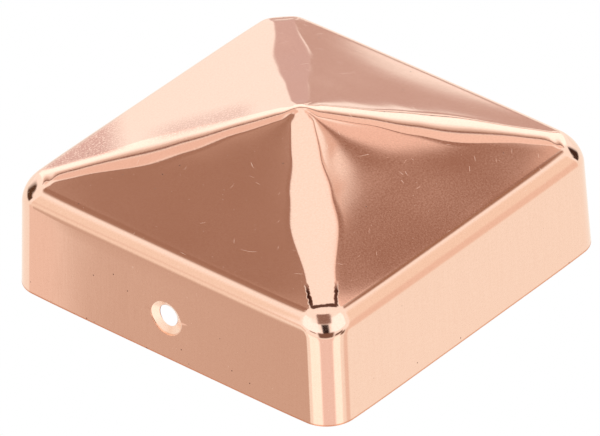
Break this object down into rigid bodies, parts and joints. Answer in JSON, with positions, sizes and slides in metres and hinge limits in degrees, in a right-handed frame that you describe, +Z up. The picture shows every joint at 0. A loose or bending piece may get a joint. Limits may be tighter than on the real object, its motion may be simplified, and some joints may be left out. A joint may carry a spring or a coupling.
{
  "type": "fence post cap",
  "caption": "Low pyramid cap pressed from one copper sheet. It slips over the top of a square timber post, and screws go in through countersunk side holes.",
  "frame": {"origin": "centre of the rim plane, which is the bottom of the cap's box", "axes": "+Z up to the apex, X through the two walls that have a screw hole, Y through the two plain walls"},
  "size_m": [0.093, 0.093, 0.0401],
  "materials": {
    "copper": "bright copper with fine handling scratches"
  },
  "bodies": {
    "root": {"cap_shell": "copper"}
  },
  "joints": []
}
